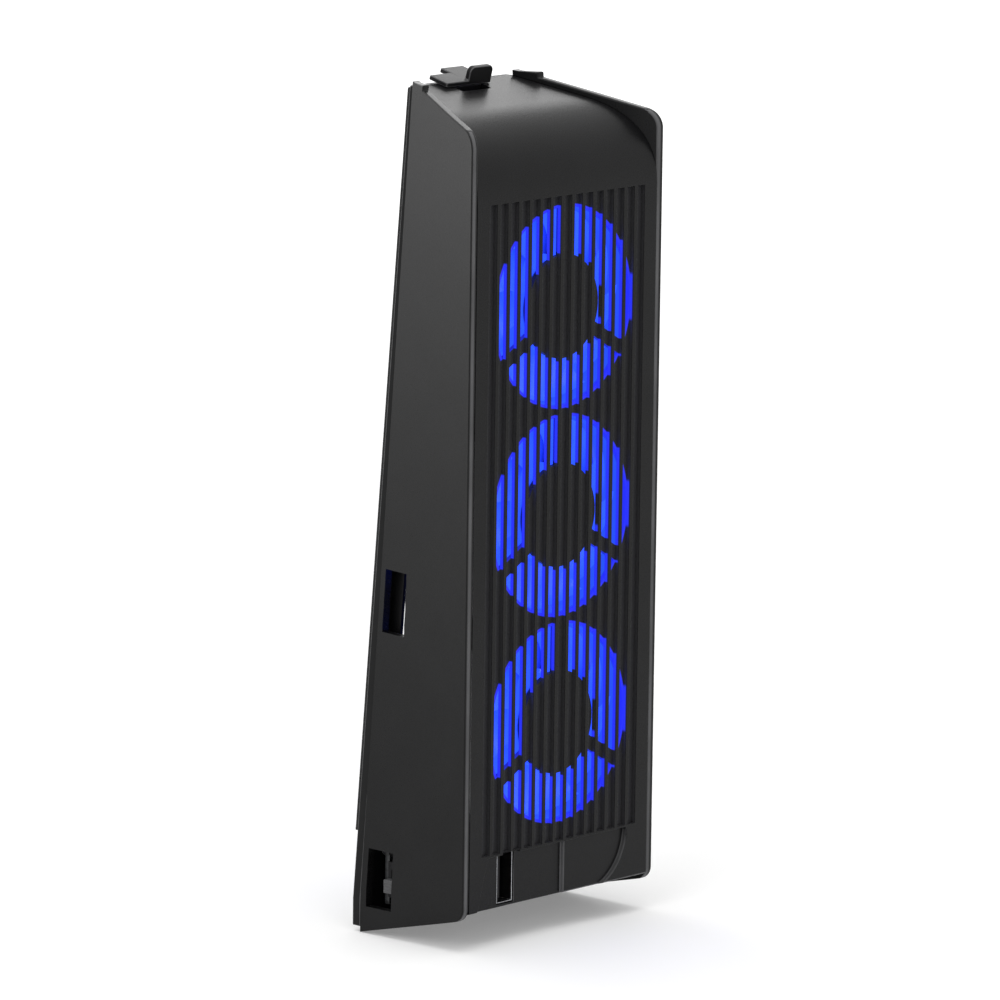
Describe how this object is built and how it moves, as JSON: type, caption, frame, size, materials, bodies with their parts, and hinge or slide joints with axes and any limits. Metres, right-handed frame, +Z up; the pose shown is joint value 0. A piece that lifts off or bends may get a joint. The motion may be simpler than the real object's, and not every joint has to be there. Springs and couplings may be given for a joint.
{
  "type": "console cooling fan",
  "caption": "Tall black clip-on cooler for the back of a game console, with blue-lit fans behind a grooved grille, flared side cheeks, a data port and a plug on its front.",
  "frame": {"origin": "in the plane of the foam seal's face, on the unit's middle plane, at half the height of the straight rear edges", "axes": "+X right for someone facing the grille, +Y towards the console, +Z up"},
  "size_m": [0.07, 0.0497, 0.2118],
  "materials": {
    "shell_black": "fine satin grain",
    "cheek_black": "fine satin grain",
    "frame_black": "satin",
    "seal_foam": "open-cell foam",
    "fan_black": "satin",
    "blade_blue": "translucent, lit blue from the frame's lamps",
    "shaft_steel": "ground",
    "bearing_bronze": "sintered",
    "core_steel": "stamped sheet",
    "coil_copper": "enamelled wire",
    "magnet_grey": "moulded ferrite",
    "board_black": "solder mask",
    "lamp_blue": "clear, lit blue",
    "chip_black": "moulded",
    "tin_bright": "tin plated",
    "knob_grey": "satin",
    "lead_black": "smooth jacket",
    "socket_white": "moulded",
    "screw_steel": "zinc plated"
  },
  "bodies": {
    "housing": {"rear_shell": "shell_black", "left_cheek": "cheek_black", "right_cheek": "cheek_black", "front_frame": "frame_black", "mouth_seal": "seal_foam", "fan_frame_upper": "fan_black", "fan_frame_middle": "fan_black", "fan_frame_lower": "fan_black", "fan_bearing_upper": "bearing_bronze", "fan_bearing_middle": "bearing_bronze", "fan_bearing_lower": "bearing_bronze", "fan_stator_upper": "core_steel", "fan_stator_middle": "core_steel", "fan_stator_lower": "core_steel", "fan_coils_upper": "coil_copper", "fan_coils_middle": "coil_copper", "fan_coils_lower": "coil_copper", "fan_board_upper": "board_black", "fan_board_middle": "board_black", "fan_board_lower": "board_black", "port_board": "board_black", "main_board": "board_black", "lamps": "lamp_blue", "board_chips": "chip_black", "pin_header": "chip_black", "usb_port_tongue": "chip_black", "usb_plug_core": "chip_black", "switch_body": "chip_black", "usb_port_shell": "tin_bright", "usb_plug_shell": "tin_bright", "fan_leads": "lead_black", "lead_plugs": "socket_white", "lead_sockets": "socket_white", "fan_screws": "screw_steel", "board_screws": "screw_steel", "cover_screws": "screw_steel"},
    "rotor_upper": {"fan_rotor_upper": "blade_blue", "fan_shaft_upper": "shaft_steel", "fan_magnet_upper": "magnet_grey"},
    "rotor_middle": {"fan_rotor_middle": "blade_blue", "fan_shaft_middle": "shaft_steel", "fan_magnet_middle": "magnet_grey"},
    "rotor_lower": {"fan_rotor_lower": "blade_blue", "fan_shaft_lower": "shaft_steel", "fan_magnet_lower": "magnet_grey"},
    "knob": {"switch_knob": "knob_grey"},
    "latch": {"latch_slider": "frame_black", "latch_retainer": "frame_black"}
  },
  "joints": [
    {"name": "spin_upper", "type": "hinge", "parent": "housing", "child": "rotor_upper", "pos_m": [0, -0.0296, 0.0523], "axis": [0, 1, 0], "continuous": true},
    {"name": "spin_middle", "type": "hinge", "parent": "housing", "child": "rotor_middle", "pos_m": [0, -0.0296, 0.0008], "axis": [0, 1, 0], "continuous": true},
    {"name": "spin_lower", "type": "hinge", "parent": "housing", "child": "rotor_lower", "pos_m": [0, -0.0296, -0.0507], "axis": [0, 1, 0], "continuous": true},
    {"name": "switch_slide", "type": "slide", "parent": "housing", "child": "knob", "axis": [0, 0, 1], "range_m": [0, 0.0025]},
    {"name": "latch_slide", "type": "slide", "parent": "housing", "child": "latch", "axis": [0, 0.9678, 0.2516], "range_m": [-0.003, 0]}
  ]
}
